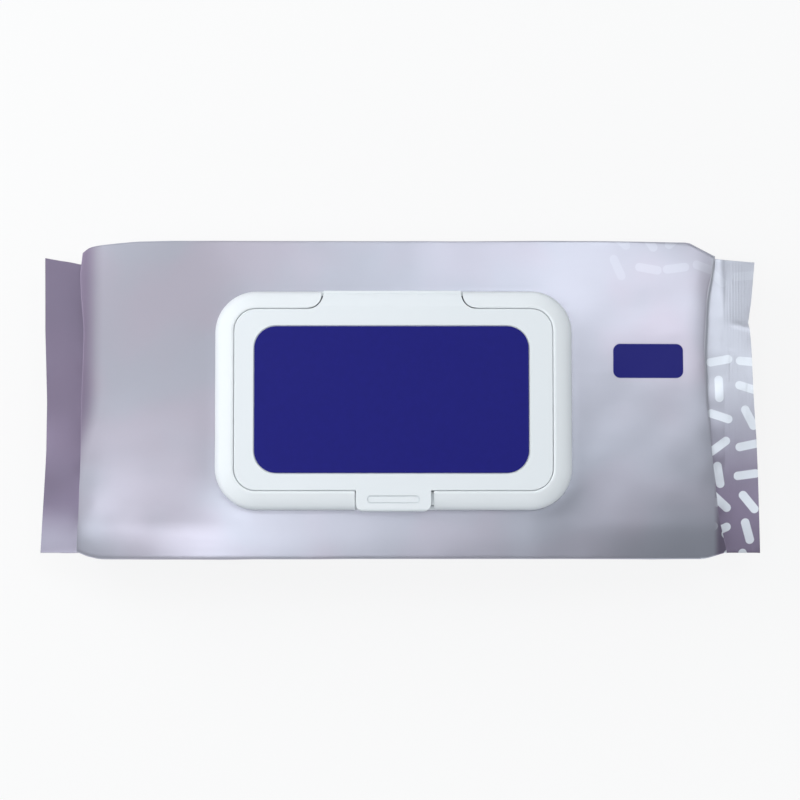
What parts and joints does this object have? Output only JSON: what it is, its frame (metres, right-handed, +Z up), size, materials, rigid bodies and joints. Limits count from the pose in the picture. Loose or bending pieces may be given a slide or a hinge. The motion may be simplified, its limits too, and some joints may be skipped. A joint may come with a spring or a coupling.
{
  "type": "wet wipes pack",
  "caption": "Soft film pack of wet wipes lying on its back, with a flat fin at each end and a white flip-top plastic lid on top.",
  "frame": {"origin": "middle of the underside, on the back seam", "axes": "+X along the pack to the bent fin, +Y to the lid's hinge, +Z up through the lid"},
  "size_m": [0.2264, 0.0984, 0.0528],
  "materials": {
    "film": "pearl metallised packing film, satin, with printed fields",
    "white_plastic": "moulded white plastic with a soft sheen",
    "label": "deep blue printed sticker, satin",
    "seal": "pale silvery sticker film"
  },
  "bodies": {
    "pack": {"film_pouch": "film", "lid_frame": "white_plastic", "seal_sticker": "seal"},
    "lid": {"lid": "white_plastic", "lid_label": "label"}
  },
  "joints": [
    {"name": "lid_hinge", "type": "hinge", "parent": "pack", "child": "lid", "pos_m": [-0.0024, 0.033, 0.0501], "axis": [-1, 0, 0], "range_deg": [0, 175]}
  ]
}
